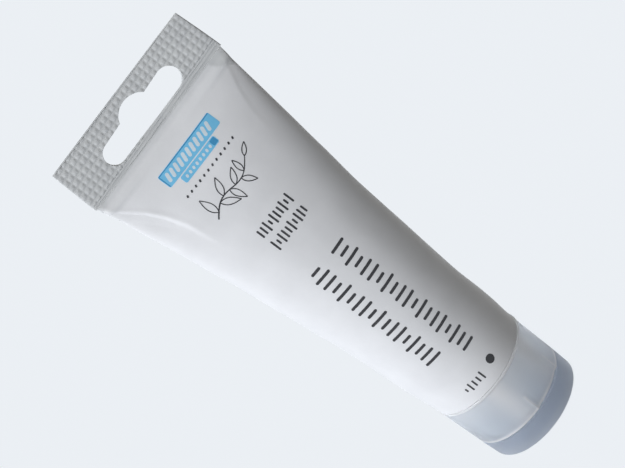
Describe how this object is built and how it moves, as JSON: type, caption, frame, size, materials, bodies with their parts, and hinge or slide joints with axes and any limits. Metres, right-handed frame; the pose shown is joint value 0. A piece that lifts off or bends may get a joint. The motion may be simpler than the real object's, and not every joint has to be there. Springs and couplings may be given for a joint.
{
  "type": "paint tube",
  "caption": "Squeeze tube of artist's paint: translucent sleeve flattened to an embossed hanging tail, with a flip-top closure on a moulded neck.",
  "frame": {"origin": "centre of the lid's flat end face, on the surface that the tube stands on", "axes": "+Z along the tube from the lid to the flat tail; +X along the tail's width; the printed front faces -Y"},
  "size_m": [0.0566, 0.0354, 0.16],
  "materials": {
    "sleeve_film": "translucent satin polyethylene film",
    "head_plastic": "white moulded polyethylene",
    "paint": "white acrylic paint, wet",
    "closure_plastic": "frosted natural polypropylene"
  },
  "bodies": {
    "tube": {"sleeve": "sleeve_film", "tail_seal": "sleeve_film", "head": "head_plastic", "paint_fill": "paint", "closure_base": "closure_plastic", "hinge_web": "closure_plastic", "hinge_strap_left": "closure_plastic", "hinge_strap_right": "closure_plastic"},
    "lid": {"lid": "closure_plastic"}
  },
  "joints": [
    {"name": "lid_hinge", "type": "hinge", "parent": "tube", "child": "lid", "pos_m": [-0.00815, 0.01566, 0.00755], "axis": [0.887, 0.4617, 0], "range_deg": [0, 180], "deforming": ["hinge_web", "hinge_strap_left", "hinge_strap_right"]}
  ]
}
